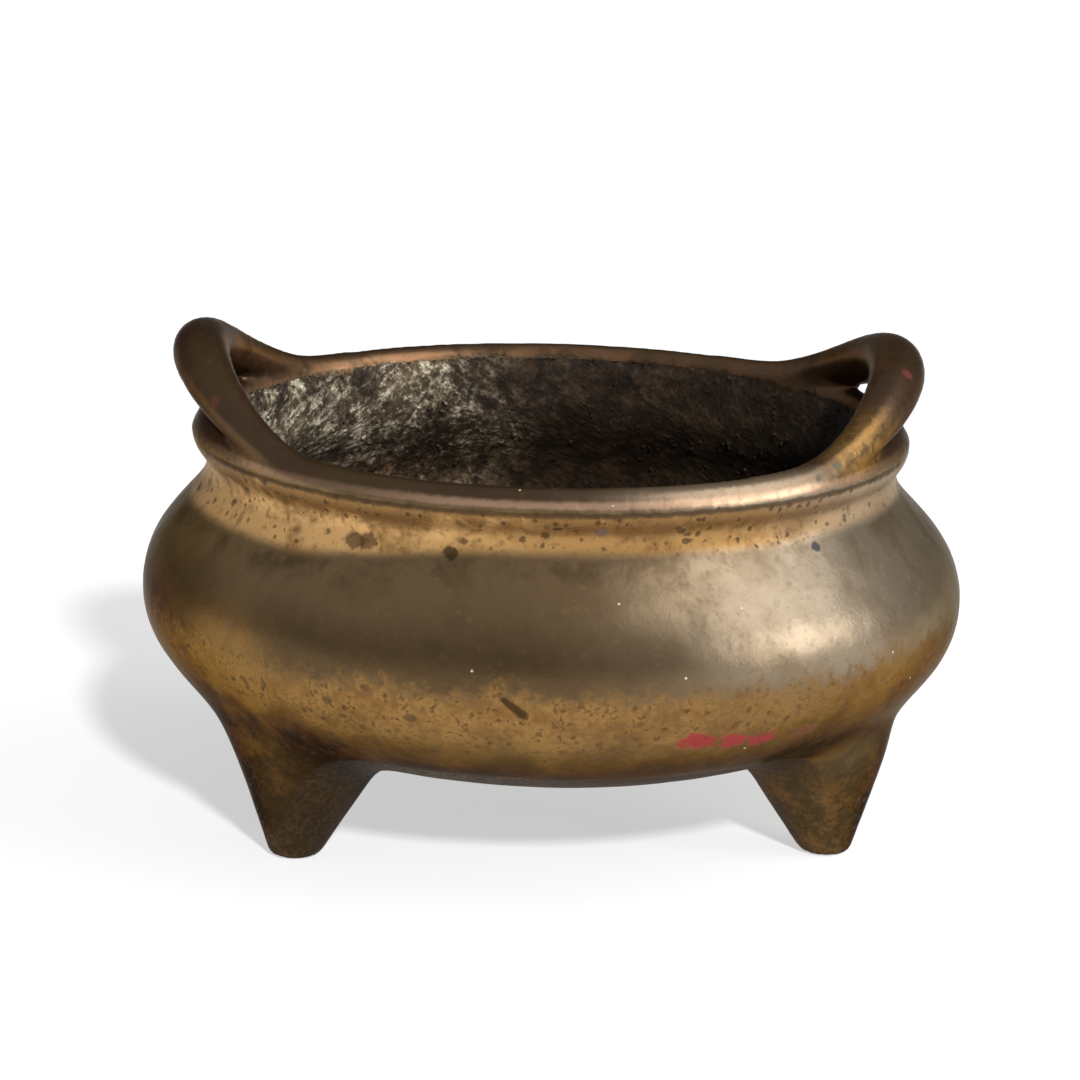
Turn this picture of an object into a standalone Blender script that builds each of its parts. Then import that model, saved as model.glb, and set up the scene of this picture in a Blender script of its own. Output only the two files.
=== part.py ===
import math

import bmesh
import bpy
from mathutils import Matrix, Vector

# Body of the bowl. All lengths are in metres, and the feet stand at height zero.
belly_radius = 0.0800
belly_height = 0.0457
underside_height = 0.0131
neck_radius = 0.0676
neck_height = 0.0702
lip_radius = 0.0693
lip_width = 0.0064
lip_drop = 0.0042
rim_height = 0.0805
wall = 0.0038
rim_sway = -0.0008
sway_curve = 1.5

# How full the outline is between those sizes, as shares of the stretch that each curve covers.
neck_ease = 0.26
shoulder_ease = 0.56
flank_ease = 0.56
underside_ease = 0.67

# Loop handles, which rise out of the lip on both sides.
handle_rise = 0.0133
left_handle_extra = 0.0010
left_handle_spread = math.radians(52.5)
right_handle_spread = math.radians(56)
handle_flare = 0.0013
handle_thickness = 0.0110
handle_root_thickness = 0.0056
handle_sink = 0.0032
handle_taper = 0.60

# Three feet, turned a little against the line through the handles.
foot_count = 3
foot_turn = math.radians(93.8)
foot_circle_radius = 0.0594
foot_splay = 0.19
sole_radius = 0.0034
sole_round = 0.0014
ankle_radius = 0.0051
calf_radius = 0.0126
calf_height = 0.0160
root_radius = 0.0208
root_height = 0.0320
root_slope = math.radians(45)
root_web = 0.6
taper_ease = 0.45

# Fineness of the faceted surfaces.
body_steps = 64
foot_steps = 20
lip_points = 4
neck_points = 3
shoulder_points = 8
flank_points = 12
handle_points = 24
handle_sides = 4
flare_points = 5
sharp_angle = math.radians(40)

bronze_colour = (0.235, 0.165, 0.085, 1.0)
bronze_roughness = 0.38
bronze_metallic = 0.9


def clear_scene():
    for thing in list(bpy.data.objects):
        bpy.data.objects.remove(thing, do_unlink=True)


def new_collection(name):
    collection = bpy.data.collections.new(name)
    bpy.context.scene.collection.children.link(collection)
    return collection


def bronze():
    material = bpy.data.materials.new("bronze")
    material.use_nodes = True
    shader = material.node_tree.nodes["Principled BSDF"]
    shader.inputs["Base Color"].default_value = bronze_colour
    shader.inputs["Roughness"].default_value = bronze_roughness
    shader.inputs["Metallic"].default_value = bronze_metallic
    material.diffuse_color = bronze_colour
    return material


def bezier(start, start_pull, end_pull, end, count):
    """Points of one cubic curve, without its first point."""
    points = []
    for i in range(1, count + 1):
        t = i / count
        s = 1 - t
        points.append(s**3 * start + 3 * s * s * t * start_pull + 3 * s * t * t * end_pull + t**3 * end)
    return points


def rounding(centre, across, up, first, last, count):
    """Points along an ellipse about centre, between two angles measured from the outward side."""
    angles = [first + (last - first) * i / count for i in range(count + 1)]
    return [centre + Vector((across * math.cos(a), up * math.sin(a))) for a in angles]


def down(length):
    return Vector((0, -length))


def flank_outline():
    """From the neck down over the shoulder and the belly to the middle of the underside."""
    neck = Vector((neck_radius, neck_height))
    belly = Vector((belly_radius, belly_height))
    middle = Vector((0, underside_height))
    shoulder = neck.y - belly.y
    flank = belly.y - middle.y
    upper = bezier(
        neck, neck + down(neck_ease * shoulder), belly - down(shoulder_ease * shoulder), belly, shoulder_points
    )
    pull = Vector((underside_ease * belly_radius, 0))
    lower = bezier(belly, belly + down(flank_ease * flank), middle + pull, middle, flank_points)
    return [neck] + upper + lower


def inset(outline, depth):
    """The outline moved inwards by depth, square to itself."""
    moved = []
    for i, point in enumerate(outline):
        along = outline[min(i + 1, len(outline) - 1)] - outline[max(i - 1, 0)]
        inwards = Vector((along.y, -along.x)).normalized()
        if i == 0:
            inwards = Vector((-1, 0))
        if i == len(outline) - 1:
            inwards = Vector((0, 1))
        moved.append(point + inwards * depth)
    return moved


def lip_outline():
    """From inside the mouth over the rounded lip to its widest point."""
    centre = Vector((lip_radius - lip_width / 2, rim_height - lip_drop))
    return rounding(centre, lip_width / 2, lip_drop, math.pi, 0, 2 * lip_points)


def lip_underside(lip_edge, neck):
    drop = lip_edge.y - neck.y
    return bezier(lip_edge, lip_edge + down(drop / 2), neck - down(drop / 2), neck, neck_points)


def bowl_outline():
    """One closed wall: up the inside from the middle, over the lip, and down the outside."""
    flank = flank_outline()
    lip = lip_outline()
    inside = inset(flank, wall)
    inside.reverse()
    outside = lip_underside(lip[-1], flank[0])[:-1] + flank
    return inside + lip + outside


def turned(name, outline, steps):
    """A mesh made by turning the outline about the vertical axis."""
    mesh = bpy.data.meshes.new(name + "_outline")
    corners = [(point.x, 0, point.y) for point in outline]
    mesh.from_pydata(corners, [(i, i + 1) for i in range(len(corners) - 1)], [])
    blank = bpy.data.objects.new(name + "_outline", mesh)
    bpy.context.scene.collection.objects.link(blank)
    screw = blank.modifiers.new("turn", "SCREW")
    screw.steps = steps
    screw.render_steps = steps
    screw.use_merge_vertices = True
    screw.merge_threshold = 0.00001
    graph = bpy.context.evaluated_depsgraph_get()
    solid = bpy.data.meshes.new_from_object(blank.evaluated_get(graph))
    solid.name = name
    bpy.data.objects.remove(blank)
    return solid


def sway(point):
    """Where a point of the bowl lies once its upper half leans a little to one side."""
    share = max(point.z - belly_height, 0) / (rim_height - belly_height)
    return Vector((point.x + rim_sway * share**sway_curve, point.y, point.z))


def bowl():
    mesh = turned("incense_burner", bowl_outline(), body_steps)
    for corner in mesh.vertices:
        corner.co = sway(corner.co)
    return bpy.data.objects.new("incense_burner", mesh)


def handle_path(middle, spread, rise):
    """Points and radii of one arch, which follows the round of the rim and rises as a smooth wave."""
    lip_middle = lip_radius - lip_width / 2
    places = []
    for i in range(handle_points + 1):
        turn = spread * (2 * i / handle_points - 1)
        share = math.cos(math.pi / 2 * turn / spread) ** 2
        reach = lip_middle + handle_flare * share
        height = rim_height - handle_sink + (rise + handle_sink - lip_width / 2) * share
        spot = Vector((reach * math.cos(middle + turn), reach * math.sin(middle + turn), height))
        thickness = handle_root_thickness + (handle_thickness - handle_root_thickness) * share**handle_taper
        places.append((sway(spot), thickness / 2))
    return places


def handle(name, places, helpers):
    data = bpy.data.curves.new(name, "CURVE")
    data.dimensions = "3D"
    data.bevel_depth = handle_thickness / 2
    data.bevel_resolution = handle_sides
    data.use_fill_caps = True
    spline = data.splines.new("POLY")
    spline.points.add(len(places) - 1)
    for point, (spot, radius) in zip(spline.points, places):
        point.co = (*spot, 1)
        point.radius = radius / data.bevel_depth
    rail = bpy.data.objects.new(name, data)
    bpy.context.scene.collection.objects.link(rail)
    graph = bpy.context.evaluated_depsgraph_get()
    mesh = bpy.data.meshes.new_from_object(rail.evaluated_get(graph))
    welded = bmesh.new()
    welded.from_mesh(mesh)
    bmesh.ops.remove_doubles(welded, verts=welded.verts, dist=0.00001)
    welded.to_mesh(mesh)
    welded.free()
    arch = bpy.data.objects.new(name, mesh)
    arch.matrix_world = rail.matrix_world
    bpy.data.objects.remove(rail)
    helpers.objects.link(arch)
    return arch


def foot_outline():
    """From the middle of the root, out over it and down the tapering side to the middle of the sole."""
    root = Vector((root_radius, root_height))
    calf = Vector((calf_radius, calf_height))
    ankle = Vector((ankle_radius, sole_round))
    sole = Vector((sole_radius, 0))
    stretch = taper_ease * (root - calf).length
    spread = Vector((math.cos(root_slope), math.sin(root_slope))) * stretch
    taper = (calf - ankle).normalized() * stretch
    flare = bezier(root, root - spread, calf + taper, calf, flare_points)
    heel = rounding(
        Vector((sole_radius, sole_round)), ankle_radius - sole_radius, sole_round, 0, -math.pi / 2, 2
    )
    middle = (calf + ankle) / 2
    return [Vector((0, root_height)), root] + flare + [middle] + heel[:-1] + [sole, Vector((0, 0))]


def foot_spot(point):
    """Where a point of the upright foot lies once it is splayed, with its root drawn out sideways."""
    share = max(point.z - calf_height, 0) / (root_height - calf_height)
    return Vector(
        (foot_circle_radius + point.x - foot_splay * point.z, point.y * (1 + root_web * share**2), point.z)
    )


def core_outline():
    """The middle of the wall, below the belly's widest line."""
    belly_index = shoulder_points
    lower = inset(flank_outline(), wall / 2)[belly_index:]
    return [Vector((0, lower[0].y))] + lower


def helper(name, mesh, helpers):
    thing = bpy.data.objects.new(name, mesh)
    helpers.objects.link(thing)
    return thing


def combine(target, other, operation):
    modifier = target.modifiers.new(other.name, "BOOLEAN")
    modifier.operation = operation
    modifier.solver = "EXACT"
    modifier.object = other


def feet(helpers):
    core = helper("core", turned("core", core_outline(), body_steps), helpers)
    made = []
    for i in range(foot_count):
        turn = foot_turn + 2 * math.pi * i / foot_count
        mesh = turned("foot", foot_outline(), foot_steps)
        for corner in mesh.vertices:
            corner.co = foot_spot(corner.co)
        mesh.transform(Matrix.Rotation(turn, 4, "Z"))
        foot = helper(f"foot_{i + 1}", mesh, helpers)
        combine(foot, core, "DIFFERENCE")
        made.append(foot)
    return made


def main():
    clear_scene()
    parts = new_collection("bronze_tripod_incense_burner")
    helpers = new_collection("helpers")
    helpers.hide_render = True
    burner = bowl()
    parts.objects.link(burner)
    burner.data.materials.append(bronze())
    for foot in feet(helpers):
        combine(burner, foot, "UNION")
    left_path = handle_path(math.pi, left_handle_spread, handle_rise + left_handle_extra)
    right_path = handle_path(0, right_handle_spread, handle_rise)
    combine(burner, handle("left_handle", left_path, helpers), "UNION")
    combine(burner, handle("right_handle", right_path, helpers), "UNION")
    for thing in helpers.objects:
        thing.hide_render = True
        thing.display_type = "WIRE"
    burner.data.shade_smooth()
    burner.data.set_sharp_from_angle(angle=sharp_angle)


main()
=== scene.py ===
import math
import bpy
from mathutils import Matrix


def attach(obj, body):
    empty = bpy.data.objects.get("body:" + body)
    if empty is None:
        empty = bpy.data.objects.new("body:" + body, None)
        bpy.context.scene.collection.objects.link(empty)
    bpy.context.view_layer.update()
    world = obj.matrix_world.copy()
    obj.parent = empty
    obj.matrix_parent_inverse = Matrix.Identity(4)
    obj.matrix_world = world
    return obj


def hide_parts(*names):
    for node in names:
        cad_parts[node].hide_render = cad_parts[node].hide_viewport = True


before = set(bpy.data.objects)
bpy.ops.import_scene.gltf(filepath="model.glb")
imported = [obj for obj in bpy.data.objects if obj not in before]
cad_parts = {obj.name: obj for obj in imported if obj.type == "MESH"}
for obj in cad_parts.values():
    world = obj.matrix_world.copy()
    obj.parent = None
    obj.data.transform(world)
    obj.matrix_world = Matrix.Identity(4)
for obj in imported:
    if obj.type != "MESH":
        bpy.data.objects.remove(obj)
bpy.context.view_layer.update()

from types import SimpleNamespace

import bpy
from mathutils import Quaternion, Vector


class Wire:  # one output socket; arithmetic on it adds Math nodes
    def __init__(self, board, socket):
        self.board = board
        self.socket = socket

    def __add__(self, other):
        return self.board.maths("ADD", self, other)

    def __radd__(self, other):
        return self.board.maths("ADD", other, self)

    def __sub__(self, other):
        return self.board.maths("SUBTRACT", self, other)

    def __rsub__(self, other):
        return self.board.maths("SUBTRACT", other, self)

    def __mul__(self, other):
        return self.board.maths("MULTIPLY", self, other)

    def __rmul__(self, other):
        return self.board.maths("MULTIPLY", other, self)

    def __truediv__(self, other):
        return self.board.maths("DIVIDE", self, other)

    def __rtruediv__(self, other):
        return self.board.maths("DIVIDE", other, self)

    def __pow__(self, other):
        return self.board.maths("POWER", self, other)

    def __neg__(self):
        return self.board.maths("MULTIPLY", self, -1)


class Board:  # a node tree, and the few ways in which nodes are put on it
    def __init__(self, tree):
        self.tree = tree

    def add(self, kind, settings=None, sockets=None, out=0):
        node = self.tree.nodes.new(kind)
        for name, value in (settings or {}).items():
            setattr(node, name, value)
        for name, value in (sockets or {}).items():
            self.feed(self.inlet(node, name), value)
        return Wire(self, self.outlet(node, out))

    def inlet(self, node, name):
        if isinstance(name, int):
            return node.inputs[name]
        return next(socket for socket in node.inputs if socket.enabled and socket.name == name)

    def outlet(self, node, name):
        if isinstance(name, int):
            return [socket for socket in node.outputs if socket.enabled][name]
        return node.outputs[name]

    def feed(self, socket, value):
        if isinstance(value, Wire):
            self.tree.links.new(value.socket, socket)
        elif isinstance(value, tuple) and len(value) == 3 and len(socket.default_value) == 4:
            socket.default_value = (*value, 1)
        else:
            socket.default_value = value

    def maths(self, operation, *values):
        return self.add("ShaderNodeMath", {"operation": operation}, dict(enumerate(values)))

    def vectorMaths(self, operation, *values, out=0):
        return self.add("ShaderNodeVectorMath", {"operation": operation}, dict(enumerate(values)), out)

    def split(self, vector):
        node = self.add("ShaderNodeSeparateXYZ", {}, {"Vector": vector}).socket.node
        return [Wire(self, socket) for socket in node.outputs]

    def join(self, x, y, z):
        return self.add("ShaderNodeCombineXYZ", {}, {"X": x, "Y": y, "Z": z})

    def length(self, vector):
        return self.vectorMaths("LENGTH", vector, out="Value")

    def scaled(self, vector, factor):
        return self.add("ShaderNodeVectorMath", {"operation": "SCALE"}, {0: vector, "Scale": factor})

    def smallest(self, a, b):
        return self.maths("MINIMUM", a, b)

    def largest(self, a, b):
        return self.maths("MAXIMUM", a, b)

    def blended(self, a, b, width):
        return self.maths("SMOOTH_MIN", a, b, width)

    def ramp(self, value, low, high, start=0.0, end=1.0):
        return self.add(
            "ShaderNodeMapRange",
            {"interpolation_type": "SMOOTHSTEP"},
            {"Value": value, "From Min": low, "From Max": high, "To Min": start, "To Max": end},
        )

    def fade(self, value, low, high):
        return self.ramp(value, low, high, 1.0, 0.0)

    def between(self, value, comes, goes):
        return self.ramp(value, *comes) * self.fade(value, *goes)

    def noise(self, where, size, detail=2.0, rough=0.5, warp=0.0, out="Fac"):
        return self.add(
            "ShaderNodeTexNoise",
            {},
            {"Vector": where, "Scale": 1 / size, "Detail": detail, "Roughness": rough, "Distortion": warp},
            out,
        )


# The vessel. Lengths are in metres, angles in degrees.
vesselSizes = {
    # bowl
    "bellyRadius": 0.0800,
    "bellyHeight": 0.0457,
    "undersideHeight": 0.0131,
    "neckRadius": 0.0672,
    "neckHeight": 0.0702,
    "lipRadius": 0.0693,
    "lipWidth": 0.0064,
    "lipDrop": 0.0037,
    "rimHeight": 0.0805,
    "wall": 0.0038,
    "rimSway": -0.0010,
    "swayCurve": 1.5,
    "neckEase": 0.26,
    "shoulderEase": 0.56,
    "flankEase": 0.56,
    "undersideEase": 0.67,
    "lipBlend": 0.0030,
    "totalHeight": 0.0970,
    # loop handles
    "archRise": 0.0133,
    "leftExtra": 0.0009,
    "leftSpread": 52.5,
    "rightSpread": 56.0,
    "archFlare": 0.0013,
    "archThickness": 0.0110,
    "archRootThickness": 0.0050,
    "archSink": 0.0032,
    "archTaper": 1.05,
    "archBlend": 0.0030,
    # feet, counted from the one at the back
    "footTurn": 93.8,
    "footCircle": 0.0594,
    "footSplay": 0.19,
    "ankleRadius": 0.0053,
    "ankleHeight": 0.0014,
    "footWidening": 0.50,
    "footSlope": 0.89,  # about the cosine of the widening's angle
    "soleRound": 0.0026,
    "footTop": 0.0270,
    "footTopRound": 0.012,
    "crotchReach": 0.046,
    "crotchBlend": 0.0045,
    "backBlend": 0.010,
    "leftBlend": 0.014,
    "rightBlend": 0.010,
    # unevenness of the cast skin, then how fine the mesh is
    "waveSize": 0.022,
    "waveDepth": 0.00012,
    "dimpleSize": 0.0055,
    "dimpleDepth": 0.00009,
    "grain": 0.00125,
    "margin": 0.004,
    "outlineSteps": 40,
    "archSteps": 60,
}


def newTree(name, sizes, geometries=(), vectors=()):
    # a Geometry Nodes tree with a named input for each size
    tree = bpy.data.node_groups.new(name, "GeometryNodeTree")
    kinds = [(given, "NodeSocketGeometry") for given in geometries]
    kinds += [(given, "NodeSocketVector") for given in vectors]
    for given, kind in kinds:
        tree.interface.new_socket(name=given, in_out="INPUT", socket_type=kind)
    for given, value in sizes.items():
        socket = tree.interface.new_socket(name=given, in_out="INPUT", socket_type="NodeSocketFloat")
        socket.default_value = value
    board = Board(tree)
    inputs = tree.nodes.new("NodeGroupInput")
    wires = {socket.name: Wire(board, socket) for socket in inputs.outputs if socket.name}
    return board, wires


def giveResult(board, name, kind, wire):
    board.tree.interface.new_socket(name=name, in_out="OUTPUT", socket_type=kind)
    node = board.tree.nodes.new("NodeGroupOutput")
    board.tree.links.new(wire.socket, node.inputs[name])


def outlineCurve(board, size):
    # outer outline in the XZ plane, from the lip's edge to the middle of the underside
    neck = (size["neckRadius"], size["neckHeight"])
    belly = (size["bellyRadius"], size["bellyHeight"])
    lipEdge = (size["lipRadius"], size["rimHeight"] - size["lipDrop"])
    shoulder = neck[1] - belly[1]
    flank = belly[1] - size["undersideHeight"]
    drop = lipEdge[1] - neck[1]
    pull = size["undersideEase"] * size["bellyRadius"]
    stretches = [
        (lipEdge, (lipEdge[0], lipEdge[1] - drop * 0.5), (neck[0], neck[1] + drop * 0.5), neck),
        (
            neck,
            (neck[0], neck[1] - size["neckEase"] * shoulder),
            (belly[0], belly[1] + size["shoulderEase"] * shoulder),
            belly,
        ),
        (
            belly,
            (belly[0], belly[1] - size["flankEase"] * flank),
            (pull, size["undersideHeight"]),
            (0.0, size["undersideHeight"]),
        ),
    ]
    names = ["Resolution", "Start", "Start Handle", "End Handle", "End"]
    joined = board.tree.nodes.new("GeometryNodeJoinGeometry")
    for stretch in reversed(stretches):  # what is linked last comes out first
        corners = [board.join(x, 0.0, z) for x, z in stretch]
        piece = board.add(
            "GeometryNodeCurvePrimitiveBezierSegment",
            {"mode": "POSITION"},
            dict(zip(names, [size["outlineSteps"], *corners])),
        )
        board.tree.links.new(piece.socket, joined.inputs[0])
    return Wire(board, joined.outputs[0])


def archCurve(board, size, middle, spread, rise):
    # centre line of one loop handle, which follows the rim and rises as one smooth wave
    line = board.add("GeometryNodeCurvePrimitiveLine", {}, {"Start": (0, 0, 0), "End": (1, 0, 0)})
    line = board.add(
        "GeometryNodeResampleCurve", {"mode": "COUNT"}, {"Curve": line, "Count": size["archSteps"] + 1}
    )
    along = board.split(board.add("GeometryNodeInputPosition"))[0]
    turn = (along * 2 - 1) * spread * (math.pi / 180)
    share = board.maths("COSINE", (along * 2 - 1) * (math.pi / 2)) ** 2
    reach = size["lipRadius"] - size["lipWidth"] * 0.5 + size["archFlare"] * share
    climb = rise + size["archSink"] - size["lipWidth"] * 0.5
    height = size["rimHeight"] - size["archSink"] + climb * share
    spot = board.join(
        board.maths("COSINE", turn + middle) * reach, board.maths("SINE", turn + middle) * reach, height
    )
    return board.add("GeometryNodeSetPosition", {}, {"Geometry": line, "Position": spot})


def distanceToLine(board, lines, where):
    edges = board.add("GeometryNodeCurveToMesh", {}, {"Curve": lines})
    near = board.add(
        "GeometryNodeProximity", {"target_element": "EDGES"}, {0: edges, "Sample Position": where}
    )
    return near, Wire(board, near.socket.node.outputs["Distance"])


def bowlDistance(board, size, lines, reach, height):
    # negative inside the bowl's outer skin, with the hollow still full
    near, distance = distanceToLine(board, lines, board.join(reach, 0.0, height))
    nearReach, _, nearHeight = board.split(near)
    outward = (reach - nearReach) * nearReach + (height - nearHeight) * (nearHeight - size["bellyHeight"])
    return distance * board.maths("SIGN", outward)


def lipDistance(board, size, reach, height):
    # an ellipse turned about the axis
    across = size["lipWidth"] * 0.5
    up = size["lipDrop"]
    x = reach - size["lipRadius"] + across
    z = height - size["rimHeight"] + up
    level = board.length(board.join(x / across, z / up, 0.0))
    slope = board.length(board.join(x / across**2, z / up**2, 0.0))
    return level * (level - 1) / board.largest(slope, 0.001)  # never divides by nothing


def footDistance(board, size, where, turn):
    # a cone that leans outwards as it goes down, with a rounded sole
    turned = board.add(
        "ShaderNodeVectorRotate",
        {"rotation_type": "Z_AXIS"},
        {"Vector": where, "Angle": turn * (-math.pi / 180)},
    )
    x, y, z = board.split(turned)
    axis = size["footCircle"] - size["footSplay"] * z
    spread = board.length(board.join(x - axis, y, 0.0))
    radius = size["ankleRadius"] + (z - size["ankleHeight"]) * size["footWidening"]
    side = (spread - radius) * size["footSlope"]
    side = board.maths("SMOOTH_MAX", side, z - size["footTop"], size["footTopRound"])
    return board.maths("SMOOTH_MAX", side, -z, size["soleRound"])


def archDistance(board, size, lines, rise, where):
    near, distance = distanceToLine(board, lines, where)
    height = board.split(near)[2]
    root = size["rimHeight"] - size["archSink"]
    climb = rise + size["archSink"] - size["lipWidth"] * 0.5
    share = board.largest((height - root) / climb, 0.0)
    grown = (size["archThickness"] - size["archRootThickness"]) * share ** size["archTaper"]
    return distance - (size["archRootThickness"] + grown) * 0.5


def riseShare(board, size, z):
    # nothing up to the widest line of the belly, one at the rim
    return board.largest(z - size["bellyHeight"], 0.0) / (size["rimHeight"] - size["bellyHeight"])


def vesselDistanceTree(sizes):
    # how far a point is from the bronze, negative inside it
    board, size = newTree("vesselDistance", sizes, ["outline", "leftArch", "rightArch"], ["point"])
    x, y, z = board.split(size["point"])
    x = x - size["rimSway"] * riseShare(board, size, z) ** size["swayCurve"]
    where = board.join(x, y, z)
    reach = board.length(board.join(x, y, 0.0))
    skin = bowlDistance(board, size, size["outline"], reach, z)
    body = skin
    fuller = board.ramp(reach, size["crotchReach"], size["footCircle"] + size["ankleRadius"])
    for i, blend in enumerate(["backBlend", "leftBlend", "rightBlend"]):
        foot = footDistance(board, size, where, size["footTurn"] + 120.0 * i)
        width = size["crotchBlend"] + (size[blend] - size["crotchBlend"]) * fuller
        body = board.blended(body, foot, width)
    body = board.largest(body, z - size["rimHeight"] + size["lipDrop"])
    body = board.largest(body, -(skin + size["wall"]))
    body = board.blended(body, lipDistance(board, size, reach, z), size["lipBlend"])
    for lines, extra in (("leftArch", size["leftExtra"]), ("rightArch", 0.0)):
        arch = archDistance(board, size, size[lines], size["archRise"] + extra, where)
        body = board.blended(body, arch, size["archBlend"])
    giveResult(board, "distance", "NodeSocketFloat", body)
    return board.tree


def vesselTree(sizes, metal):
    board, size = newTree("castVessel", sizes, ["empty"])
    leftRise = size["archRise"] + size["leftExtra"]
    lines = {
        "outline": outlineCurve(board, size),
        "leftArch": archCurve(board, size, math.pi, size["leftSpread"], leftRise),
        "rightArch": archCurve(board, size, 0.0, size["rightSpread"], size["archRise"]),
    }
    distanceTree = vesselDistanceTree(sizes)
    passed = {name: size[name] for name in sizes}
    position = board.add("GeometryNodeInputPosition")

    def distance():
        given = {**lines, **passed, "point": position}
        return board.add("GeometryNodeGroup", {"node_tree": distanceTree}, given)

    half = size["bellyRadius"] + size["margin"]
    top = size["rimHeight"] + size["archRise"] + size["leftExtra"] + size["archThickness"] * 0.5
    counts = [half * 2 / size["grain"], (top + size["margin"] * 2) / size["grain"]]
    block = board.add(
        "GeometryNodeVolumeCube",
        {},
        {
            "Density": -distance(),
            "Background": -1.0,
            "Min": board.join(-half, -half, -size["margin"]),
            "Max": board.join(half, half, top + size["margin"]),
            "Resolution X": counts[0],
            "Resolution Y": counts[0],
            "Resolution Z": counts[1],
        },
    )
    skin = board.add(
        "GeometryNodeVolumeToMesh", {"resolution_mode": "GRID"}, {"Volume": block, "Threshold": 0.0}
    )
    # three steps bring the points onto the true surface
    normal = board.add("GeometryNodeInputNormal")
    for _ in range(3):
        step = board.scaled(normal, -distance())
        skin = board.add("GeometryNodeSetPosition", {}, {"Geometry": skin, "Offset": step})
    wave = (board.noise(position, size["waveSize"], 1.0) - 0.5) * size["waveDepth"] * 2
    dimple = (board.noise(position, size["dimpleSize"], 2.0) - 0.5) * size["dimpleDepth"] * 2
    relief = board.scaled(normal, wave + dimple)
    skin = board.add("GeometryNodeSetPosition", {}, {"Geometry": skin, "Offset": relief})
    # the relief stays inside the widest, lowest and highest lines
    x, y, z = board.split(position)
    reach = board.length(board.join(x, y, 0.0))
    limit = board.smallest(size["bellyRadius"] / board.largest(reach, 0.001), 1.0)
    inside = board.join(x * limit, y * limit, board.smallest(board.largest(z, 0.0), size["totalHeight"]))
    skin = board.add("GeometryNodeSetPosition", {}, {"Geometry": skin, "Position": inside})
    skin = board.add("GeometryNodeSetShadeSmooth", {}, {"Geometry": skin})
    skin = board.add("GeometryNodeRealizeInstances", {}, {"Geometry": skin})
    skin = board.add("GeometryNodeSetMaterial", {}, {"Geometry": skin, "Material": metal})
    giveResult(board, "mesh", "NodeSocketGeometry", skin)
    return board.tree


def meshFrom(name, tree, values, start=None):
    # runs a tree on an empty mesh, or on a copy of another piece, and keeps the result as a plain mesh
    ground = start.data.copy() if start else bpy.data.meshes.new(name + "Blank")
    blank = bpy.data.objects.new(name + "Blank", ground)
    bpy.context.scene.collection.objects.link(blank)
    modifier = blank.modifiers.new(name, "NODES")
    modifier.node_group = tree
    for socket in tree.interface.items_tree:
        if socket.in_out == "INPUT" and socket.name in values:
            modifier[socket.identifier] = float(values[socket.name])
    graph = bpy.context.evaluated_depsgraph_get()
    mesh = bpy.data.meshes.new_from_object(blank.evaluated_get(graph), depsgraph=graph)
    blank.modifiers.remove(modifier)
    bpy.data.objects.remove(blank)
    piece = bpy.data.objects.new(name, mesh)
    bpy.context.scene.collection.objects.link(piece)
    triangles = sum(len(face.vertices) - 2 for face in mesh.polygons)
    print(name, "made,", len(mesh.vertices), "points", triangles, "triangles")
    return piece


# Ash and soot on the inside of the bowl
crustSizes = {
    "start": 0.055,  # share of the outline where the wall is straight
    "topShare": 0.075,
    "topRise": 0.0080,
    "topReach": 0.0006,
    "columns": 600,
    "rows": 150,
    "backDepth": 0.0008,
    "backShare": 0.06,
    "crowding": 1.25,  # above 1 puts more rows near the rim
    "cover": 0.0008,
    "lumpSize": 0.016,
    "lumpDepth": 0.0016,
    "grainSize": 0.0034,
    "grainDepth": 0.0011,
    "edgeFade": 0.030,
    "weld": 0.00002,
}


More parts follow.
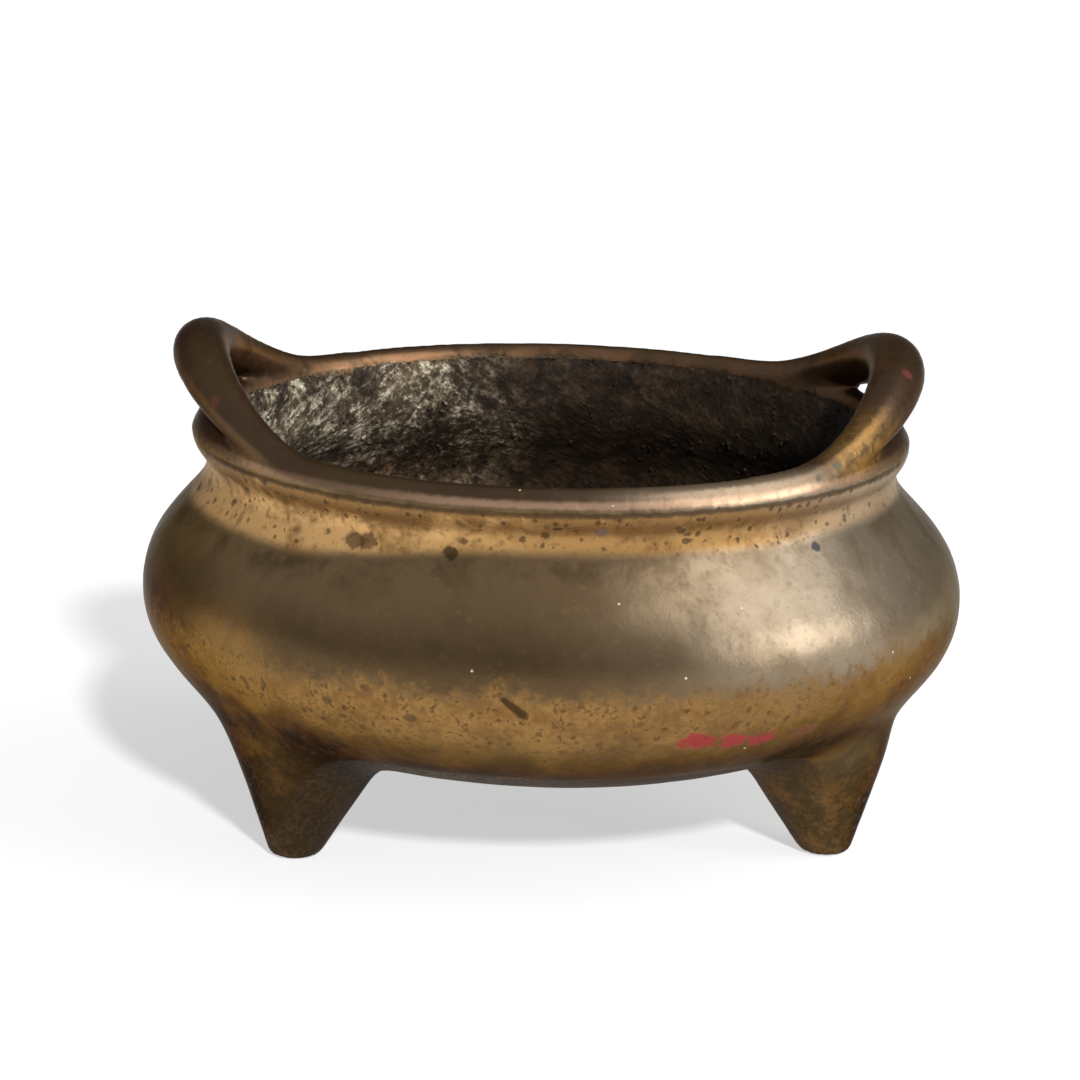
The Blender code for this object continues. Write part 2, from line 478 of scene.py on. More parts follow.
def crustTree(sizes, ash):
    board, size = newTree("ashCrust", {**sizes, **crustSizes}, ["empty"])
    lines = outlineCurve(board, size)
    sheet = board.add(
        "GeometryNodeMeshGrid",
        {},
        {"Size X": 1.0, "Size Y": 1.0, "Vertices X": size["columns"] + 1, "Vertices Y": size["rows"] + 1},
    )
    across, along, _ = board.split(board.add("GeometryNodeInputPosition"))
    turn = (across + 0.5) * (2 * math.pi)
    along = along + 0.5
    # the first rows run up the hidden back, the others down the face that shows
    back = board.maths("LESS_THAN", along, size["backShare"] - 0.0001)
    upBack = 1 - along / size["backShare"]
    downFace = board.largest((along - size["backShare"]) / (1 - size["backShare"]), 0.0) ** size["crowding"]
    share = upBack * back + downFace * (1 - back)
    above = board.largest(1 - share / size["topShare"], 0.0)  # one at the crust's upper edge
    under = board.largest(share - size["topShare"], 0.0) / (1 - size["topShare"])
    factor = size["start"] + (1 - size["start"]) * under
    sample = board.add(
        "GeometryNodeSampleCurve",
        {"mode": "FACTOR", "use_all_curves": True},
        {"Curves": lines, "Factor": factor},
        "Position",
    )
    reach, _, height = board.split(sample)
    alongX, _, alongZ = board.split(Wire(board, sample.socket.node.outputs["Tangent"]))

    def spot(depth):
        radius = board.largest(reach + alongZ * depth - above * size["topReach"], 0.0)
        z = height - alongX * depth + above * size["topRise"]
        lean = size["rimSway"] * riseShare(board, size, z) ** size["swayCurve"]
        x = board.maths("COSINE", turn) * radius + lean
        return board.join(x, board.maths("SINE", turn) * radius, z)

    base = spot(size["wall"])
    lumps = (board.noise(base, size["lumpSize"], 3.0, 0.6) - 0.45) * size["lumpDepth"]
    grains = (board.noise(base, size["grainSize"], 4.0, 0.7, 0.6) - 0.5) * size["grainDepth"]
    edge = board.ramp(share, 0.0, size["edgeFade"]) * 1.2 - 0.2
    thick = size["cover"] * edge + (lumps + grains) * (1 + above * 0.6)
    depth = size["wall"] + thick * (1 - back) - size["backDepth"] * back
    crust = board.add("GeometryNodeSetPosition", {}, {"Geometry": sheet, "Position": spot(depth)})
    crust = board.add("GeometryNodeMergeByDistance", {}, {"Geometry": crust, "Distance": size["weld"]})
    crust = board.add("GeometryNodeSetShadeSmooth", {}, {"Geometry": crust})
    crust = board.add("GeometryNodeRealizeInstances", {}, {"Geometry": crust})
    crust = board.add("GeometryNodeSetMaterial", {}, {"Geometry": crust, "Material": ash})
    giveResult(board, "mesh", "NodeSocketGeometry", crust)
    return board.tree


crumbSizes = {
    "perArea": 52000.0,  # crumbs on a square metre of crust
    "smallest": 0.00018,
    "biggest": 0.00075,
    "seed": 7,
}


def crumbTree(sizes, ash):
    # crumbs of burnt incense that stick to the crust
    board, size = newTree("ashCrumbs", sizes, ["crust"])
    points = board.add(
        "GeometryNodeDistributePointsOnFaces",
        {},
        {"Mesh": size["crust"], "Density": size["perArea"], "Seed": size["seed"]},
        "Points",
    )
    turns = board.add(
        "FunctionNodeRandomValue",
        {"data_type": "FLOAT_VECTOR"},
        {"Max": (6.28, 6.28, 6.28), "Seed": size["seed"] + 1},  # up to a full turn
        "Value",
    )
    low = board.join(size["smallest"], size["smallest"], size["smallest"])
    high = board.join(size["biggest"], size["biggest"], size["biggest"])
    spread = board.add(
        "FunctionNodeRandomValue",
        {"data_type": "FLOAT_VECTOR"},
        {"Min": low, "Max": high, "Seed": size["seed"] + 2},
        "Value",
    )
    crumb = board.add("GeometryNodeMeshIcoSphere", {}, {"Radius": 1.0, "Subdivisions": 1})
    crumbs = board.add(
        "GeometryNodeInstanceOnPoints",
        {},
        {"Points": points, "Instance": crumb, "Rotation": turns, "Scale": spread},
    )
    crumbs = board.add("GeometryNodeRealizeInstances", {}, {"Geometry": crumbs})
    crumbs = board.add("GeometryNodeSetMaterial", {}, {"Geometry": crumbs, "Material": ash})
    giveResult(board, "mesh", "NodeSocketGeometry", crumbs)
    return board.tree


# Materials
def tone(*levels):
    # a colour as a paint program shows it, made linear
    return tuple(((level / 255 + 0.055) / 1.055) ** 2.4 for level in levels)


# The skin of the vessel
bronzeLook = {
    # colours
    "gold": tone(152, 116, 68),
    "neckGold": tone(202, 160, 104),
    "oldGold": tone(120, 86, 48),
    "brown": tone(98, 80, 56),
    "taupe": tone(140, 116, 84),
    "paleTaupe": tone(156, 141, 120),
    "deepBrown": tone(84, 66, 44),
    "lowSkin": tone(80, 70, 52),
    "chocolate": tone(94, 74, 58),
    "archShade": tone(70, 60, 46),
    "rubbedLip": tone(166, 146, 122),
    "rubbedEdge": tone(226, 184, 150),
    "copper": tone(176, 130, 94),
    "foot": tone(62, 48, 26),
    "footShade": tone(40, 28, 14),
    "umber": tone(46, 33, 20),
    "sootGrain": tone(104, 94, 76),
    "glancing": tone(146, 142, 132),
    # sizes of the noise, from the widest to the finest
    "broadSize": 0.030,
    "blotchSize": 0.009,
    "fleckSize": 0.0026,
    "fineSize": 0.0009,
    # zones; a pair says from where to where something comes or goes
    "palerSide": (-0.005, 0.050),
    "bandComes": (0.041, 0.046),
    "bandGoes": (0.048, 0.061),
    "lowGoes": (0.0370, 0.0520),
    "wornComes": (0.025, 0.040),
    "undersideGoes": (0.018, 0.036),
    "outsideComes": (0.0640, 0.0655),
    "neckComes": (0.0670, 0.0692),
    "neckGoes": (0.0752, 0.0770),
    "neckSinks": (-0.056, -0.012),
    "neckDrop": 0.0040,
    "neckDulls": (-0.045, 0.0),
    "neckDarkens": (0.070, 0.076),
    "neckThins": (0.030, 0.060),
    "stainComes": (0.0630, 0.0665),
    "stainGoes": (0.0670, 0.0690),
    "lipComes": (0.0764, 0.0780),
    "rootAt": (0.0580, -0.0395, 0.0840),
    "rootSize": 0.0150,
    "frontGoes": (-0.035, -0.005),
    "shineComes": (-0.008, 0.030),
    "shineGoes": (0.040, 0.054),
    "shineTop": (0.0802, 0.0818),
    "edgeComes": (0.0769, 0.0776),
    "edgeGoes": (0.0780, 0.0790),
    "edgeLeft": (-0.045, -0.015),
    "edgeRight": (0.012, 0.036),
    "seamComes": (0.0752, 0.0760),
    "seamGoes": (0.0764, 0.0770),
    "copperReach": (0.0632, 0.0660),
    "copperComes": (0.072, 0.076),
    "copperThins": (-0.010, 0.040),
    "sootReach": (0.0640, 0.0652),
    "sootTop": (0.0776, 0.0794),
    "sootPaleGoes": (-0.020, 0.020),
    "footGoes": (0.013, 0.027),
    "footReach": (0.024, 0.048),
    "leftFootSide": (-0.050, -0.020),
    "leftFootRise": 0.010,
    "shadeComes": (-0.062, -0.044),
    "shadeGoes": (-0.01, 0.01),
    # pits, shine and relief
    "raggedness": 0.0018,
    "bigPits": {"cell": 0.0036, "fewest": 0.35, "largest": 0.32},
    "smallPits": {"cell": 0.0019, "fewest": 0.25, "largest": 0.42},
    "metallic": 0.92,
    "roughness": 0.33,
    "fineRelief": 0.000016,
    "fleckRelief": 0.000060,
    "knockDepth": 0.00022,
    "marks": [  # place, size, how much wider than high, tone and cover
        ((-0.0385, -0.0561, 0.0676), 0.0036, 1.5, tone(66, 48, 32), 0.85),
        ((-0.0362, -0.0577, 0.0680), 0.0032, 1.2, tone(68, 50, 32), 0.85),
        ((-0.0211, -0.0646, 0.0677), 0.0022, 1.0, tone(40, 30, 20), 0.9),
        ((-0.0016, -0.0689, 0.0734), 0.0016, 2.4, tone(48, 34, 24), 0.85),
        ((-0.0020, -0.0672, 0.0701), 0.0014, 2.2, tone(96, 60, 38), 0.4),
        ((0.0065, -0.0679, 0.0725), 0.0019, 1.3, tone(100, 80, 76), 0.8),
        ((0.0473, -0.0495, 0.0662), 0.0017, 1.0, tone(54, 57, 62), 0.9),
        ((0.0222, -0.0633, 0.0703), 0.0019, 2.2, tone(52, 40, 26), 0.8),
        ((0.0253, -0.0645, 0.0748), 0.0010, 1.5, tone(52, 38, 26), 0.8),
        ((-0.0434, -0.0661, 0.0399), 0.0014, 1.0, tone(62, 52, 40), 0.6),
        ((-0.0279, -0.0735, 0.0387), 0.0022, 1.6, tone(60, 50, 38), 0.6),
        ((0.0516, -0.0457, 0.0811), 0.0022, 1.4, tone(88, 88, 74), 0.75),
        ((0.0476, -0.0498, 0.0797), 0.0014, 1.2, tone(80, 80, 68), 0.75),
        ((0.0666, -0.0173, 0.0929), 0.0019, 0.8, tone(120, 48, 42), 0.7),
        ((-0.0657, -0.0294, 0.0880), 0.0020, 0.8, tone(120, 60, 48), 0.4),
    ],
    "lacquer": [  # traces of red, with how torn their edges are at the end
        ((0.0255, -0.0724, 0.0348), 0.0062, 2.4, tone(146, 44, 52), 0.85, 2.2),
        ((0.0318, -0.0690, 0.0341), 0.0056, 2.2, tone(150, 48, 56), 0.85, 2.2),
        ((0.0372, -0.0657, 0.0337), 0.0052, 2.4, tone(146, 46, 52), 0.85, 2.2),
        ((0.0450, -0.0606, 0.0340), 0.0060, 2.6, tone(112, 56, 46), 0.4, 2.0),
    ],
    "markTorn": 0.55,
    "rubbed": [  # soft patches where the brown is rubbed through
        {"at": (-0.0624, -0.0500, 0.0440), "size": 0.0190, "flat": 1.3, "cover": 0.85},
        {"at": (0.0640, -0.0480, 0.0440), "size": 0.0160, "flat": 1.8, "cover": 0.35},
    ],
    "knock": {  # a drop-shaped dent low on the front
        "from": (-0.0111, -0.0789, 0.0440),
        "to": (-0.0074, -0.0794, 0.0410),
        "size": 0.0013,
        "tone": tone(58, 40, 22),
    },
    "specks": {  # tiny pale grains stuck to the metal
        "places": [
            (-0.0169, -0.0779, 0.0490),
            (-0.0086, -0.0668, 0.0802),
            (0.0083, -0.0685, 0.0779),
            (0.0097, -0.0730, 0.0607),
            (0.0325, -0.0676, 0.0589),
            (0.0625, -0.0500, 0.0463),
            (0.0668, -0.0417, 0.0391),
            (0.0221, -0.0767, 0.0479),
            (0.0341, -0.0654, 0.0316),
        ],
        "size": 0.00030,
        "tone": tone(186, 176, 158),
    },
}


def newMaterial(name):
    material = bpy.data.materials.new(name)
    material.use_nodes = True
    board = Board(material.node_tree)
    shader = material.node_tree.nodes["Principled BSDF"]
    where = board.add("ShaderNodeTexCoord", out="Object")
    return material, board, shader, where


def mixed(board, share, under, over):
    return board.add("ShaderNodeMix", {"data_type": "RGBA"}, {"Factor": share, "A": under, "B": over})


def bumped(board, shader, relief):
    bump = board.add("ShaderNodeBump", {}, {"Strength": 1.0, "Distance": 1.0, "Height": relief})
    board.feed(shader.inputs["Normal"], bump)


def distanceFrom(board, where, place, flat=1.0):
    # heights count flat times
    back = (-place[0], -place[1], -place[2] * flat)
    return board.length(board.vectorMaths("MULTIPLY_ADD", where, (1, 1, flat), back))


def spotShare(board, where, place, size, flat=1.0, soft=0.45):
    return board.fade(distanceFrom(board, where, place, flat), size * (1 - soft), size)


def dropShare(board, where, start, end, size):
    # along a line, growing from half the size at its start to the whole at its end
    line = Vector(end) - Vector(start)
    offset = board.vectorMaths("SUBTRACT", where, start)
    along = board.vectorMaths("DOT_PRODUCT", offset, tuple(line / line.length_squared), out="Value")
    along = board.smallest(board.largest(along, 0.0), 1.0)
    nearest = board.scaled(tuple(line), along)
    distance = board.vectorMaths("DISTANCE", offset, nearest, out="Value")
    return board.fade(distance / (along * 0.5 + 0.5), size * 0.4, size)


def pitShare(board, where, cell, fewest, largest):
    # round pits of uneven size, one at most in each cell
    near = board.add("ShaderNodeTexVoronoi", {}, {"Vector": where, "Scale": 1 / cell}, "Distance")
    chance = board.split(Wire(board, near.socket.node.outputs["Color"]))[0]
    radius = board.ramp(chance, fewest, 1.0, 0.0, largest)
    return board.fade(near, radius * 0.55, radius + 0.01) * board.maths("GREATER_THAN", chance, fewest)


def skinPlace(board, look, where):
    # what all parts of the skin go by
    at = SimpleNamespace(where=where)
    at.x, at.y, at.z = board.split(where)
    at.reach = board.length(board.join(at.x, at.y, 0.0))
    at.broad = board.noise(where, look["broadSize"], 3.0, 0.55)
    at.blotch = board.noise(where, look["blotchSize"], 4.0, 0.6, 0.4)
    at.fleck = board.noise(where, look["fleckSize"], 4.0, 0.65, 0.6)
    at.fine = board.noise(where, look["fineSize"], 3.0, 0.6)
    at.unevenHeight = at.z + (at.broad - 0.5) * 0.012 + (at.blotch - 0.5) * 0.007
    at.neckHeight = at.z + (at.blotch - 0.5) * 0.0022 + (at.fleck - 0.5) * 0.0016
    at.edgeHeight = at.z + (at.fleck - 0.5) * 0.0010
    at.outside = board.ramp(at.reach, *look["outsideComes"])
    at.front = board.fade(at.y, *look["frontGoes"])
    # paler towards the lit right: pale skin there and a painted highlight
    at.paler = board.ramp(at.x + (at.broad - 0.5) * 0.03, *look["palerSide"])
    return at


def brownSkin(board, look, at):
    # paler to one side, with a darker band round the belly; the band is patina and a painted dark
    # reflection
    # painted highlight: the lit right side of the skin made paler
    skin = mixed(board, at.paler, look["taupe"], look["paleTaupe"])
    skin = mixed(board, board.ramp(at.blotch, 0.42, 0.74) * 0.45, skin, look["brown"])
    # painted dark reflection with the patina's edge, in a band round the belly
    band = board.between(at.unevenHeight, look["bandComes"], look["bandGoes"]) * (1 - at.paler * 0.65)
    return mixed(board, band * 0.85, skin, look["deepBrown"])


def wornBelly(board, look, at, colour):
    # the lower belly is worn to gold, and darker again underneath
    low = board.ramp(board.fade(at.unevenHeight, *look["lowGoes"]) + (at.fleck - 0.5) * 0.9, 0.20, 0.80)
    above = board.ramp(at.z + (at.blotch - 0.5) * 0.012, *look["wornComes"])
    at.worn = low * above * (1 - at.paler * 0.3)
    flecked = board.ramp(at.blotch * 0.45 + at.fleck * 0.55, 0.38, 0.58)
    gold = mixed(board, flecked * 0.85 + 0.10, look["oldGold"], look["gold"])
    mottled = board.ramp(at.broad * 0.5 + at.blotch * 0.5, 0.42, 0.60)
    lowest = mixed(board, mottled * 0.6, look["lowSkin"], look["oldGold"])
    lowest = mixed(board, board.ramp(at.z, *look["undersideGoes"]), lowest, look["brown"])
    colour = mixed(board, low, colour, lowest)
    colour = mixed(board, at.worn, colour, gold)
    for patch in look["rubbed"]:
        share = spotShare(board, at.where, patch["at"], patch["size"], patch["flat"], 0.9) * patch["cover"]
        colour = mixed(board, share * (flecked * 0.4 + 0.6), colour, look["gold"])
    return colour


def wornNeck(board, look, at, colour):
    # gold round the neck, lower down and brighter on the left, the brightness a painted reflection, over a
    # dark stain that is partly a painted dark reflection
    lowered = at.neckHeight + board.fade(at.x, *look["neckSinks"]) * look["neckDrop"]
    at.neck = board.ramp(lowered, *look["neckComes"]) * board.fade(at.neckHeight, *look["neckGoes"])
    at.neck = at.neck * at.outside
    # painted reflection: brighter neck gold on the left, fading to plain gold on the right
    fadingNeckReflection = board.ramp(at.x + (at.blotch - 0.5) * 0.05, *look["neckDulls"])
    gold = mixed(board, fadingNeckReflection, look["neckGold"], look["gold"])
    darker = board.ramp(at.z, *look["neckDarkens"]) * 0.16
    mottled = board.ramp(at.blotch * 0.6 + at.fleck * 0.4 + darker, 0.45, 0.62)
    gold = mixed(board, mottled * 0.8, gold, look["oldGold"])
    cover = 0.92 - board.ramp(at.x, *look["neckThins"]) * 0.55
    colour = mixed(board, at.neck * cover, colour, gold)
    # dark stain under the neck gold, partly a painted dark reflection of the upturned shoulder
    stainAndDarkReflection = board.between(lowered, look["stainComes"], look["stainGoes"]) * at.outside
    patchy = board.ramp(at.fleck * 0.4 + at.blotch * 0.6, 0.40, 0.60)
    return mixed(board, stainAndDarkReflection * patchy * (0.45 - at.paler * 0.25), colour, look["deepBrown"])


def lipSkin(board, look, at, colour):
    # lip and handles keep their dark skin, rubbed at the root of one handle; along the front of the lip a
    # painted highlight, a painted bright line on rubbed metal and a painted dark line
    lip = board.ramp(at.z + (at.fleck - 0.5) * 0.0012, *look["lipComes"])
    skin = mixed(board, board.ramp(at.broad, 0.40, 0.65) * 0.6, look["chocolate"], look["brown"])
    skin = mixed(board, board.ramp(at.blotch, 0.5, 0.72) * 0.5, skin, look["archShade"])
    colour = mixed(board, lip * 0.95, colour, skin)
    root = spotShare(board, at.where, look["rootAt"], look["rootSize"], 1.0, 0.7)
    rootTone = mixed(board, board.ramp(at.fleck, 0.42, 0.62) * 0.6, look["gold"], look["archShade"])
    colour = mixed(board, root * lip * 0.85, colour, rootTone)
    # painted highlight on the front right of the lip
    shine = lip * board.ramp(at.x + (at.blotch - 0.5) * 0.02, *look["shineComes"])
    shine = shine * board.fade(at.z, *look["shineTop"]) * board.fade(at.x, *look["shineGoes"]) * at.front
    colour = mixed(board, shine * 0.75, colour, look["rubbedLip"])
    # painted highlight: a bright line along the lip's front edge, on partly rubbed metal
    edge = board.between(at.edgeHeight, look["edgeComes"], look["edgeGoes"]) * at.front * at.outside
    edge = edge * (board.ramp(at.x, *look["edgeLeft"]) * 0.6 + 0.3)
    edge = edge * (1 - board.ramp(at.x, *look["edgeRight"]) * 0.6)
    colour = mixed(board, edge * 0.85, colour, look["rubbedEdge"])
    # painted dark reflection: a thin dark line under the lip's front edge
    paintedDarkLine = board.between(at.edgeHeight, look["seamComes"], look["seamGoes"]) * at.front * at.outside
    return mixed(board, paintedDarkLine * 0.75, colour, look["umber"])


def rimInside(board, look, at, colour):
    # copper on the inside of the rim, with a sooty band creeping up to it that is partly a painted shadow
    # under the rim, its pale grains only on the lit left
    inner = board.fade(at.reach + (at.blotch - 0.5) * 0.002, *look["copperReach"])
    inner = inner * board.ramp(at.z, *look["copperComes"])
    inner = inner * (1 - board.ramp(at.x, *look["copperThins"]) * 0.7)
    colour = mixed(board, inner * board.ramp(at.blotch, 0.35, 0.60) * 0.7, colour, look["copper"])
    upright = board.length(board.join(at.x - vesselSizes["rimSway"], at.y, 0.0))
    # sooty dark and painted shadow under the inner rim
    sootShadowHeight = at.z + (at.fleck - 0.5) * 0.0036 + (at.blotch - 0.5) * 0.0040
    at.sooty = board.fade(upright, *look["sootReach"]) * board.fade(sootShadowHeight, *look["sootTop"])
    grain = board.ramp(at.fine, 0.40, 0.62) * board.fade(at.x, *look["sootPaleGoes"])
    return mixed(board, at.sooty * 0.9, colour, mixed(board, grain, look["umber"], look["sootGrain"]))


def footSkin(board, look, at, colour):
    # feet, with the inner side of the left one in shade
    higher = board.fade(at.x, *look["leftFootSide"]) * look["leftFootRise"]
    at.feet = board.fade(at.z - higher + (at.blotch - 0.5) * 0.012, *look["footGoes"])
    at.feet = at.feet * board.ramp(at.reach + (at.broad - 0.5) * 0.02, *look["footReach"])
    mottled = board.ramp(at.fine * 0.4 + at.blotch * 0.6, 0.42, 0.62)
    skin = mixed(board, mottled * 0.6, look["foot"], look["oldGold"])
    shade = board.ramp(at.x + (at.fleck - 0.5) * 0.02, *look["shadeComes"])
    shade = shade * board.fade(at.x, *look["shadeGoes"])
    skin = mixed(board, shade * 0.9, skin, look["footShade"])
    return mixed(board, at.feet * 0.9, colour, skin)


def pitsAndGrains(board, look, at, colour):
    bend = look["raggedness"]
    ragged = board.join(at.fine, at.fleck, at.fine * 0.5 + at.blotch * 0.5)
    at.bent = board.vectorMaths("MULTIPLY_ADD", ragged, (bend, bend, bend), at.where)
    at.bent = board.vectorMaths("SUBTRACT", at.bent, (bend * 0.5, bend * 0.5, bend * 0.5))
    big = pitShare(board, at.bent, **look["bigPits"]) * (at.neck * 0.9 + at.worn * 0.6 + 0.15)
    small = pitShare(board, at.bent, **look["smallPits"])
    small = small * (at.neck * 0.8 + at.worn * 0.7 + at.feet * 0.6 + 0.20)
    at.pits = board.largest(big, small)
    grainy = at.worn * 0.8 + at.feet * 0.8 + at.neck * 0.3 + 0.35
    at.grains = board.ramp(at.fine * 0.5 + at.fleck * 0.5, 0.52, 0.64) * grainy
    return mixed(board, board.largest(at.pits * 0.75, at.grains * 0.6), colour, look["umber"])


def markShare(board, at, place, size, flat, cover, torn):
    away = distanceFrom(board, at.bent, place, flat)
    uneven = board.maths("MULTIPLY_ADD", at.fleck - 0.5, -torn * size, away)
    return board.ramp(uneven, size * 0.48, size * 0.80, cover, 0.0), away


def singleMarks(board, look, at, colour):
    # what is placed one by one; at.dull gathers where the metal doesn't shine
    knock = look["knock"]
    at.knock = dropShare(board, at.where, knock["from"], knock["to"], knock["size"])
    colour = mixed(board, at.knock * 0.85, colour, knock["tone"])
    at.dull = board.largest(at.pits, at.sooty)
    for place, size, flat, markTone, cover in look["marks"]:
        share, _ = markShare(board, at, place, size, flat, cover, look["markTorn"])
        colour = mixed(board, share, colour, markTone)
        at.dull = board.largest(at.dull, share)
    for place, size, flat, markTone, cover, torn in look["lacquer"]:
        share, away = markShare(board, at, place, size, flat, cover, torn)
        share = share * board.fade(away, size * 0.77, size)
        colour = mixed(board, share, colour, markTone)
        at.dull = board.largest(at.dull, share)
    specks = look["specks"]
    nearest = distanceFrom(board, at.where, specks["places"][0])
    for place in specks["places"][1:]:
        nearest = board.smallest(nearest, distanceFrom(board, at.where, place))
    share = board.fade(nearest, specks["size"] * 0.7, specks["size"])
    at.dull = board.largest(at.dull, share)
    return mixed(board, share, colour, specks["tone"])


def patinaBronze(look):
    material, board, shader, where = newMaterial("patinaBronze")
    at = skinPlace(board, look, where)
    colour = brownSkin(board, look, at)
    for part in (wornBelly, wornNeck, lipSkin, rimInside, footSkin, pitsAndGrains, singleMarks):
        colour = part(board, look, at, colour)
    metallic = look["metallic"] - at.dull * 0.30 - at.grains * 0.15 - at.neck * 0.30
    roughness = look["roughness"] + (at.blotch - 0.5) * 0.14 + (at.fleck - 0.5) * 0.12 + at.dull * 0.25
    board.feed(shader.inputs["Base Color"], colour)
    board.feed(shader.inputs["Metallic"], metallic)
    board.feed(shader.inputs["Roughness"], roughness + at.neck * 0.10)
    shader.inputs["Specular Tint"].default_value = (*look["glancing"], 1)
    relief = (at.fine - 0.5) * look["fineRelief"] + (at.fleck - 0.5) * look["fleckRelief"]
    bumped(board, shader, relief - at.knock * look["knockDepth"])
    print("patinaBronze made,", len(material.node_tree.nodes), "nodes")
    return material


ashLook = {
    # sooty dark, also the painted shade on the right of the crust
    "soot": tone(24, 18, 13),
    "crust": tone(78, 66, 50),
    "pale": tone(188, 180, 158),
    "rust": tone(84, 58, 36),
    "broadSize": 0.020,
    "lumpSize": 0.0060,
    "grainSize": 0.0013,
    "fibre": (0.0095, 0.0010, 0.0010),  # length and thickness of the fibres of ash
    "leftTurn": (0, -0.62, 0.6),
    "rightTurn": (0, 0.70, 0.1),
    "turnChanges": (-0.045, -0.012),
    "litSide": (-0.002, 0.034),
    "rustGoes": (0.052, 0.062),
    "paleComes": (0.050, 0.064),
    "roughness": 0.9,
    "grainRelief": 0.0004,
    "fibreRelief": 0.0004,
    "lumpRelief": 0.0009,
}


def fibres(board, look, where, turn):
    spot = board.add(
        "ShaderNodeMapping",
        {"vector_type": "TEXTURE"},
        {"Vector": where, "Rotation": turn, "Scale": look["fibre"]},
    )
    return board.noise(spot, 1.0, 4.0, 0.65)


def ashMaterial(look):
    material, board, shader, where = newMaterial("ashSootAndShade")
    x, y, z = board.split(where)
    broad = board.noise(where, look["broadSize"], 3.0, 0.6)
    lump = board.noise(where, look["lumpSize"], 5.0, 0.7, 0.5)
    grain = board.noise(where, look["grainSize"], 4.0, 0.75)
    turned = board.ramp(x, *look["turnChanges"])
    left = fibres(board, look, where, look["leftTurn"])
    right = fibres(board, look, where, look["rightTurn"])
    streak = left * (1 - turned) + right * turned
    # painted light and shade: the crust lit and paler on the left, falling to a sooty dark on the right as
    # painted shade; rust and pale ash follow it
    litSide = board.ramp(-x + (broad - 0.5) * 0.06, *look["litSide"])
    cover = board.ramp(broad * 0.35 + lump * 0.35 + grain * 0.30, 0.40, 0.60)
    colour = mixed(board, cover * (litSide * 0.93 + 0.07), look["soot"], look["crust"])
    rust = board.ramp(lump * 0.6 + grain * 0.4, 0.44, 0.62)
    rust = rust * (1 - board.ramp(z, *look["rustGoes"]) * litSide)
    colour = mixed(board, rust * (litSide * 0.50 + 0.17), colour, look["rust"])
    pale = board.ramp(grain * 0.40 + streak * 0.30 + lump * 0.30, 0.475, 0.64)
    pale = pale * board.ramp(broad * 0.6 + lump * 0.4, 0.40, 0.56)
    pale = pale * (board.ramp(z, *look["paleComes"]) * 0.65 + 0.35)
    colour = mixed(board, pale * (litSide * 0.95 + 0.02), colour, look["pale"])
    board.feed(shader.inputs["Base Color"], colour)
    shader.inputs["Roughness"].default_value = look["roughness"]
    relief = (grain - 0.5) * look["grainRelief"] + (streak - 0.5) * look["fibreRelief"]
    bumped(board, shader, relief + (lump - 0.5) * look["lumpRelief"])
    print("ashSootAndShade made,", len(material.node_tree.nodes), "nodes")
    return material


# Camera, floor and light
cameraSettings = {
    "elevation": 14.19,
    "azimuth": 2.08,
    "distance": 1.0,
    "targetHeight": 0.0457,
    "roll": 1.39,
    "lens": 169.7,
    "shift": (-0.0107, 0.0412),
}

lightSettings = {
    "world": (0.30, 0.30, 0.31),
    "sunStrength": 5.4,
    "sunSoftness": 5.0,
    "sunFrom": (0.19, -0.98, 0.64),
    "floorColour": (0.36, 0.36, 0.36),
    "floorGlow": 0.55,
    "floorSize": 12,
    "aim": (0, 0, 0.04),
}

panels = {  # place, width, height and power of each soft box
    "sidePanel": {"from": (1.258, -0.458, 0.470), "size": (0.94, 0.62), "power": 8.3},
    "upperPanel": {"from": (0.87, -0.18, 1.10), "size": (1.10, 0.80), "power": 6.0},
}


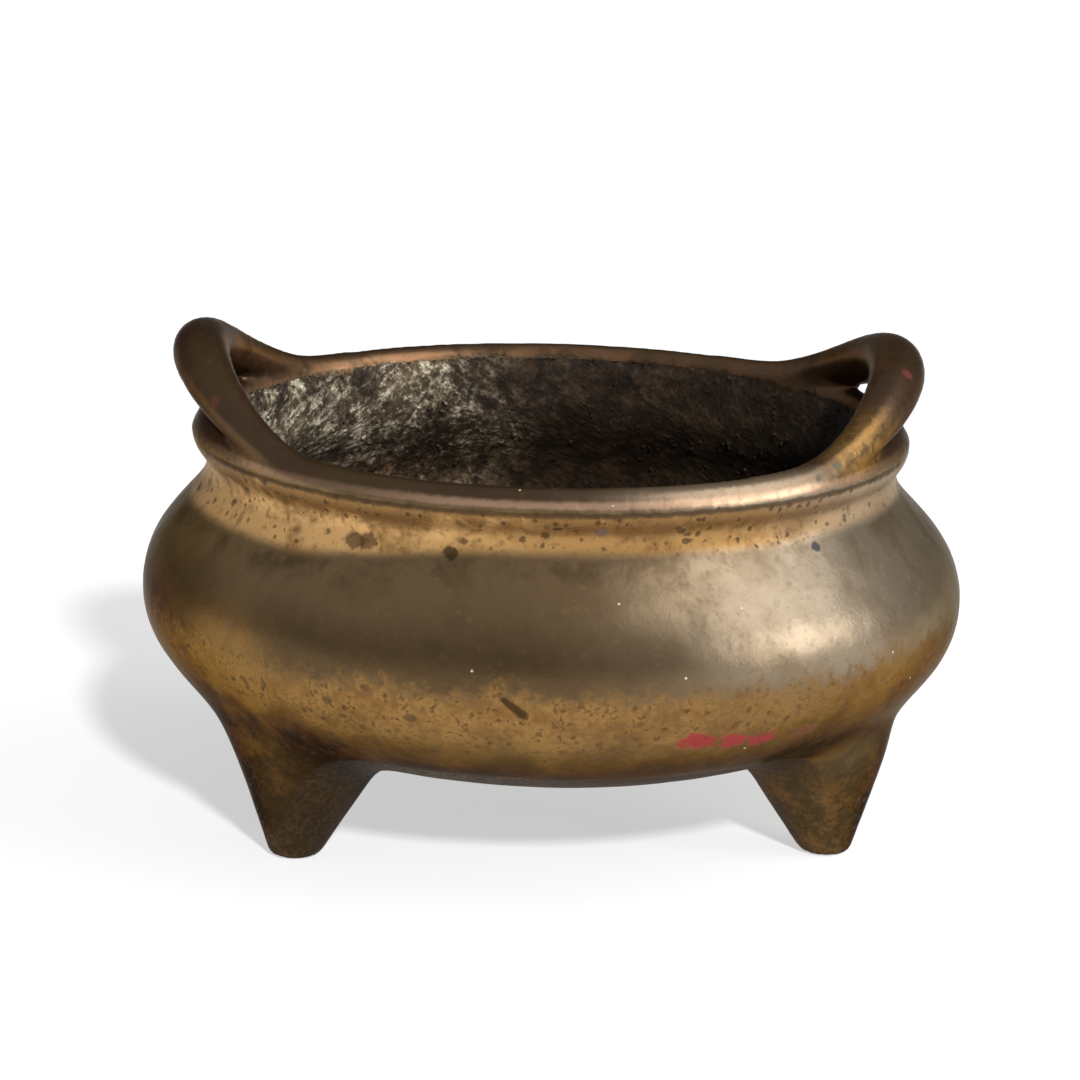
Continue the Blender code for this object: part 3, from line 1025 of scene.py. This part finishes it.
def makeCamera(settings):
    data = bpy.data.cameras.new("photoCamera")
    data.lens = settings["lens"]
    data.sensor_width = 36
    data.shift_x, data.shift_y = settings["shift"]
    data.clip_start = 0.05
    camera = bpy.data.objects.new("photoCamera", data)
    bpy.context.scene.collection.objects.link(camera)
    rise = math.radians(settings["elevation"])
    side = math.radians(settings["azimuth"])
    back = Vector((-math.sin(side) * math.cos(rise), -math.cos(side) * math.cos(rise), math.sin(rise)))
    camera.location = Vector((0, 0, settings["targetHeight"])) + back * settings["distance"]
    camera.rotation_mode = "QUATERNION"
    roll = Quaternion((0, 0, 1), math.radians(settings["roll"]))
    camera.rotation_quaternion = (-back).to_track_quat("-Z", "Y") @ roll
    bpy.context.scene.camera = camera


def placeLight(name, light, spot, aim):
    thing = bpy.data.objects.new(name, light)
    bpy.context.scene.collection.objects.link(thing)
    thing.location = spot
    thing.rotation_mode = "QUATERNION"
    thing.rotation_quaternion = (Vector(aim) - Vector(spot)).to_track_quat("-Z", "Y")
    return thing


def makeLights(settings):
    scene = bpy.context.scene
    scene.view_settings.view_transform = "Standard"
    world = bpy.data.worlds.new("studio")
    scene.world = world
    world.use_nodes = True
    world.node_tree.nodes["Background"].inputs["Color"].default_value = (*settings["world"], 1)
    sun = bpy.data.lights.new("softSun", "SUN")
    sun.energy = settings["sunStrength"]
    sun.angle = math.radians(settings["sunSoftness"])
    placeLight("softSun", sun, settings["sunFrom"], settings["aim"]).visible_glossy = False
    for name, panel in panels.items():
        light = bpy.data.lights.new(name, "AREA")
        light.shape = "RECTANGLE"
        light.size, light.size_y = panel["size"]
        light.energy = panel["power"]
        placeLight(name, light, panel["from"], settings["aim"])


def makeFloor(settings):
    bpy.ops.mesh.primitive_plane_add(size=settings["floorSize"])
    floor = bpy.context.object
    floor.name = "floor"
    material = bpy.data.materials.new("palePaper")
    material.use_nodes = True
    shader = material.node_tree.nodes["Principled BSDF"]
    shader.inputs["Base Color"].default_value = (*settings["floorColour"], 1)
    shader.inputs["Roughness"].default_value = 0.9
    shader.inputs["Emission Color"].default_value = (1, 1, 1, 1)
    shader.inputs["Emission Strength"].default_value = settings["floorGlow"]
    floor.data.materials.append(material)


bronze = patinaBronze(bronzeLook)
ash = ashMaterial(ashLook)
vessel = meshFrom("castVessel", vesselTree(vesselSizes, bronze), vesselSizes)
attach(vessel, "root")
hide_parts("incense_burner")
crust = meshFrom("ashCrust", crustTree(vesselSizes, ash), {**vesselSizes, **crustSizes})
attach(crust, "root")
crumbs = meshFrom("ashCrumbs", crumbTree(crumbSizes, ash), crumbSizes, crust)
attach(crumbs, "root")

makeCamera(cameraSettings)
makeLights(lightSettings)
makeFloor(lightSettings)
print("camera, lights and floor placed")
